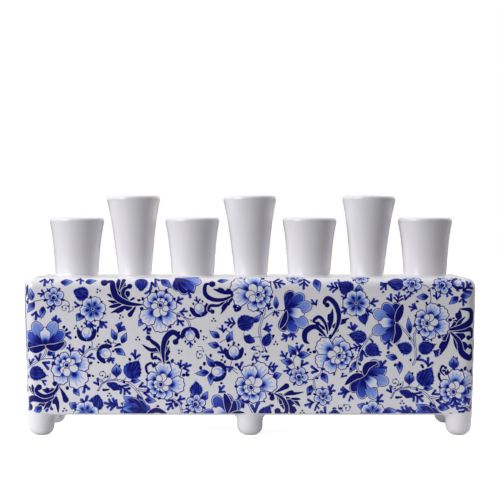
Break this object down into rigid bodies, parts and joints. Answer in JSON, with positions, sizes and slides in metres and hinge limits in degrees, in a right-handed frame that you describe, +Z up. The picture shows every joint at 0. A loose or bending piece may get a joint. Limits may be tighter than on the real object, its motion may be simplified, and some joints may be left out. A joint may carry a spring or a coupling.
{
  "type": "flower vase",
  "caption": "Long box-shaped glazed flower vase on rounded feet, with a row of short and tall flared stem tubes on its deck and blue floral transfers on its walls.",
  "frame": {"origin": "middle of the footprint, on the surface that the feet stand on", "axes": "+X along the row of tubes, to the right of someone facing the front; -Y is the front; +Z is up"},
  "size_m": [0.3004, 0.0754, 0.1604],
  "materials": {
    "white_glaze": "gloss",
    "cobalt_transfer": "gloss"
  },
  "bodies": {
    "root": {"body_box": "white_glaze", "deck": "white_glaze", "tube_1": "white_glaze", "tube_2": "white_glaze", "tube_3": "white_glaze", "tube_4": "white_glaze", "tube_5": "white_glaze", "tube_6": "white_glaze", "tube_7": "white_glaze", "foot_front_left": "white_glaze", "foot_front_middle": "white_glaze", "foot_front_right": "white_glaze", "foot_rear_left": "white_glaze", "foot_rear_middle": "white_glaze", "foot_rear_right": "white_glaze", "transfer_front": "cobalt_transfer", "transfer_back": "cobalt_transfer", "transfer_left": "cobalt_transfer", "transfer_right": "cobalt_transfer"}
  },
  "joints": []
}
